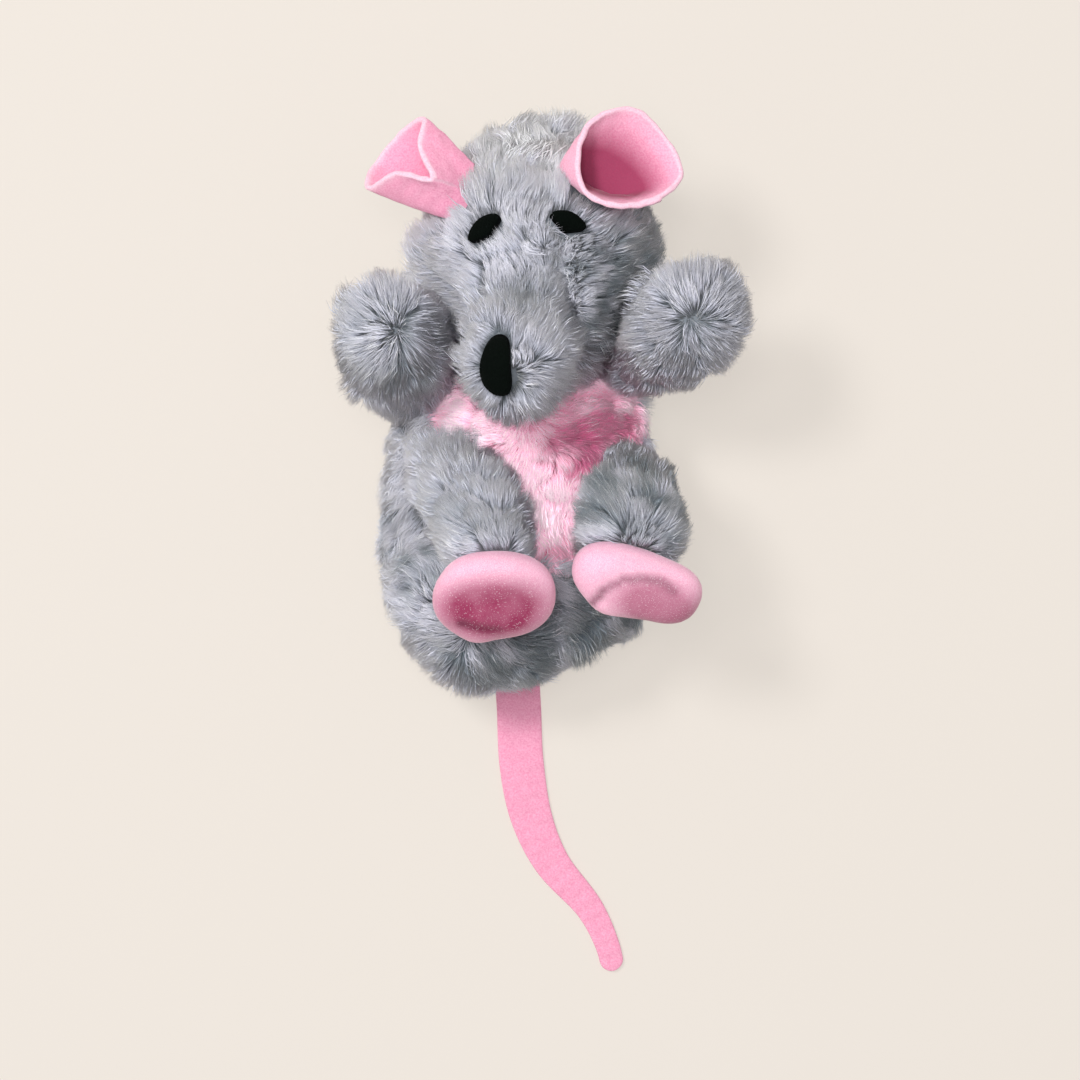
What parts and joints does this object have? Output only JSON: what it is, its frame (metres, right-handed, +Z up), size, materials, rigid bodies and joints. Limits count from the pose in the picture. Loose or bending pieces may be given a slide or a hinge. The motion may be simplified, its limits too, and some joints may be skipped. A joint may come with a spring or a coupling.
{
  "type": "catnip mouse",
  "caption": "Plush catnip toy: a long-pile mouse lying on its back, with a pink belly, padded feet, felt ears and a felt tail, sewn limbs that bend at their seams.",
  "frame": {"origin": "middle of the flat patch under the body on which the toy lies", "axes": "+Y from the tail towards the head, +Z up through the belly, +X towards the toy's right side in the picture"},
  "size_m": [0.0889, 0.1997, 0.0742],
  "materials": {
    "grey_plush": "long pile, soft sheen",
    "pink_plush": "short pile",
    "pink_velour": "short nap",
    "pink_felt": "matt felt",
    "black_felt": "matt felt",
    "fibrefill": "loose fibre",
    "sachet_cloth": "thin non-woven",
    "catnip": "dried leaf"
  },
  "bodies": {
    "body": {"back_panel": "grey_plush", "belly_panel": "pink_plush", "body_stuffing": "fibrefill", "sachet_front": "sachet_cloth", "sachet_back": "sachet_cloth", "catnip_fill": "catnip"},
    "head": {"head_gusset": "grey_plush", "head_cheek_left": "grey_plush", "head_cheek_right": "grey_plush", "head_stuffing": "fibrefill", "eye_left": "black_felt", "eye_right": "black_felt", "nose": "black_felt"},
    "ear_left": {"ear_left": "pink_felt"},
    "ear_right": {"ear_right": "pink_felt"},
    "arm_left": {"arm_left_skin": "grey_plush", "arm_left_stuffing": "fibrefill"},
    "arm_right": {"arm_right_skin": "grey_plush", "arm_right_stuffing": "fibrefill"},
    "leg_left": {"leg_left_skin": "grey_plush", "foot_left_skin": "pink_velour", "leg_left_stuffing": "fibrefill"},
    "leg_right": {"leg_right_skin": "grey_plush", "foot_right_skin": "pink_velour", "leg_right_stuffing": "fibrefill"},
    "tail": {"tail": "pink_felt"}
  },
  "joints": [
    {"name": "neck", "type": "hinge", "parent": "body", "child": "head", "pos_m": [0.00215, 0.03715, 0.02883], "axis": [1, 0, 0], "range_deg": [-10, 10], "stiffness_Nm_per_rad": 0.15},
    {"name": "shoulder_left", "type": "hinge", "parent": "body", "child": "arm_left", "pos_m": [-0.02377, 0.03181, 0.02143], "axis": [1, 0, 0], "range_deg": [-4, 20], "stiffness_Nm_per_rad": 0.03},
    {"name": "shoulder_right", "type": "hinge", "parent": "body", "child": "arm_right", "pos_m": [0.02535, 0.03277, 0.0215], "axis": [1, 0, 0], "range_deg": [-4, 20], "stiffness_Nm_per_rad": 0.03},
    {"name": "hip_left", "type": "hinge", "parent": "body", "child": "leg_left", "pos_m": [-0.01825, 0.02298, 0.04122], "axis": [1, 0, 0], "range_deg": [-20, 4], "stiffness_Nm_per_rad": 0.03},
    {"name": "hip_right", "type": "hinge", "parent": "body", "child": "leg_right", "pos_m": [0.0243, 0.01706, 0.03637], "axis": [1, 0, 0], "range_deg": [-20, 4], "stiffness_Nm_per_rad": 0.03},
    {"name": "tail_root", "type": "hinge", "parent": "body", "child": "tail", "pos_m": [-0.0012, -0.0225, 0.0065], "axis": [0, 0, 1], "range_deg": [-25, 25], "stiffness_Nm_per_rad": 0.01},
    {"name": "ear_root_left", "type": "hinge", "parent": "head", "child": "ear_left", "pos_m": [-0.01432, 0.07939, 0.04635], "axis": [0, 1, 0], "range_deg": [-3, 16], "stiffness_Nm_per_rad": 0.01},
    {"name": "ear_root_right", "type": "hinge", "parent": "head", "child": "ear_right", "pos_m": [0.01485, 0.08057, 0.05256], "axis": [0.8711, -0.4911, 0], "range_deg": [-3, 16], "stiffness_Nm_per_rad": 0.01}
  ]
}
